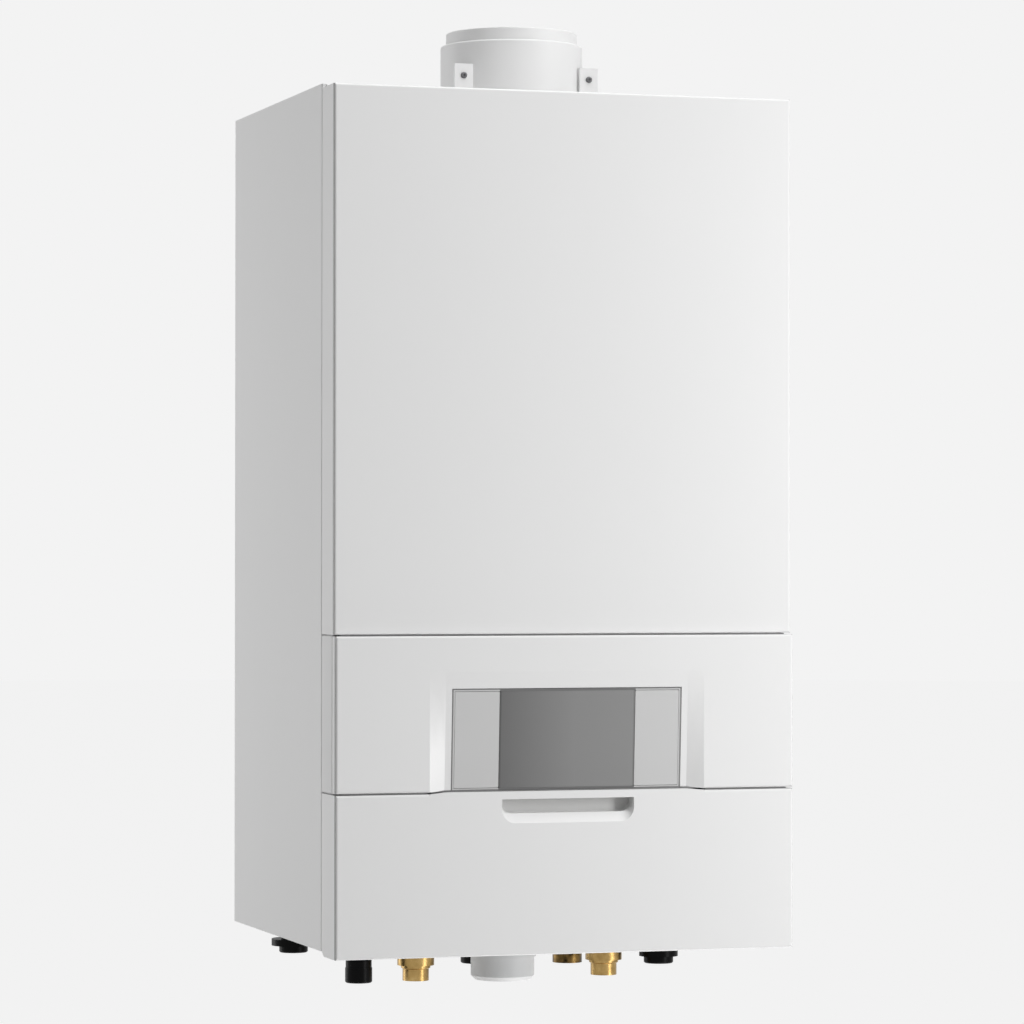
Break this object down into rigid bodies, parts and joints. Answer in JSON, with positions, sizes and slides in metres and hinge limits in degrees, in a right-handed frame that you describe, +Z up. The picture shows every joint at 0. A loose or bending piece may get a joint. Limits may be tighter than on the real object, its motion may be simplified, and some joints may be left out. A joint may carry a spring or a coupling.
{
  "type": "wall-hung boiler",
  "caption": "Wall-hung condensing combi boiler: plain casing, control fascia with recessed display, drop-down flap, concentric flue adapter on top and pipe tails below.",
  "frame": {"origin": "on the wall plane, at the middle of the casing's lower edge", "axes": "+X to the right seen from the front, +Y into the wall, +Z up"},
  "size_m": [0.44, 0.384, 0.904],
  "materials": {
    "front_enamel": "satin white powder coat",
    "side_enamel": "satin white powder coat",
    "white_plastic": "satin white moulding",
    "grey_plastic": "satin light grey moulding",
    "black_plastic": "black moulding",
    "display_glass": "dark tinted window",
    "clear_plastic": "clear lens",
    "galvanised": "galvanised sheet",
    "spring_steel": "zinc plated steel",
    "black_steel": "black zinc",
    "magnet_steel": "nickel plated",
    "circuit_green": "lacquered board",
    "foam": "closed-cell foam",
    "rubber": "matt rubber",
    "brass": "turned brass",
    "copper": "drawn copper tube",
    "stainless": "stainless steel",
    "cast_aluminium": "sand-cast aluminium",
    "red_enamel": "red enamel"
  },
  "bodies": {
    "casing": {"left_side_panel": "side_enamel", "right_side_panel": "side_enamel", "top_panel": "side_enamel", "back_panel": "galvanised", "wall_bracket": "galvanised", "bottom_plate": "galvanised", "cross_rail": "galvanised", "cover_clips": "spring_steel", "cover_gasket": "foam", "fascia": "front_enamel", "control_chassis": "white_plastic", "chassis_rear_cover": "grey_plastic", "circuit_board": "circuit_green", "display_frame": "grey_plastic", "display_window": "display_glass", "display_board": "circuit_green", "hinge_brackets": "galvanised", "hinge_pins": "spring_steel", "catch_magnets": "magnet_steel", "service_panel": "galvanised", "pressure_gauge": "black_plastic", "gauge_lens": "clear_plastic", "switch_body": "black_plastic", "flue_adapter": "white_plastic", "air_pipe_stub": "white_plastic", "adapter_screws": "black_steel", "hx_shelf": "galvanised", "heat_exchanger": "cast_aluminium", "exhaust_duct": "stainless", "burner_door": "cast_aluminium", "burner": "stainless", "fan_housing": "cast_aluminium", "fan_motor": "black_plastic", "gas_air_mixer": "black_plastic", "gas_valve": "cast_aluminium", "gas_pipe": "copper", "expansion_vessel": "red_enamel", "hoses": "rubber", "pump_body": "brass", "pump_motor": "black_plastic", "plate_heat_exchanger": "stainless", "diverter_valve": "brass", "heating_pipes": "copper", "water_pipes": "copper", "filling_valve": "brass", "safety_valve": "brass", "trap_body": "black_plastic", "trap_cup": "white_plastic", "pipe_tails": "brass", "tail_caps": "black_plastic", "lock_nuts": "brass", "drain_spouts": "black_plastic"},
    "cover": {"front_cover": "front_enamel"},
    "flap": {"lower_flap": "front_enamel"},
    "left_key": {"left_pad": "grey_plastic"},
    "right_key": {"right_pad": "grey_plastic"},
    "pointer": {"gauge_pointer": "black_steel"},
    "rocker": {"switch_rocker": "black_plastic"},
    "impeller": {"fan_impeller": "stainless"},
    "knob": {"filling_knob": "black_plastic"}
  },
  "joints": [
    {"name": "cover_off", "type": "slide", "parent": "casing", "child": "cover", "axis": [0, -1, 0], "range_m": [0, 0.06]},
    {"name": "flap_hinge", "type": "hinge", "parent": "casing", "child": "flap", "pos_m": [0, -0.345, 0.006], "axis": [1, 0, 0], "range_deg": [0, 95]},
    {"name": "left_key_press", "type": "slide", "parent": "casing", "child": "left_key", "axis": [0, 0.9985, 0.0551], "range_m": [0, 0.001], "stiffness_N_per_m": 2000, "springref_m": -0.0005},
    {"name": "right_key_press", "type": "slide", "parent": "casing", "child": "right_key", "axis": [0, 0.9985, 0.0551], "range_m": [0, 0.001], "stiffness_N_per_m": 2000, "springref_m": -0.0005},
    {"name": "pointer_turn", "type": "hinge", "parent": "casing", "child": "pointer", "pos_m": [-0.12, -0.3525, 0.107], "axis": [0, 1, 0], "range_deg": [0, 270]},
    {"name": "rocker_tip", "type": "hinge", "parent": "casing", "child": "rocker", "pos_m": [0.12, -0.3558, 0.107], "axis": [-1, 0, 0], "range_deg": [0, 14]},
    {"name": "impeller_spin", "type": "hinge", "parent": "casing", "child": "impeller", "pos_m": [-0.058, -0.334, 0.61], "axis": [0, 1, 0], "continuous": true},
    {"name": "knob_turn", "type": "hinge", "parent": "casing", "child": "knob", "pos_m": [0.094, -0.24, 0.058], "axis": [0, -1, 0], "range_deg": [0, 90]}
  ]
}
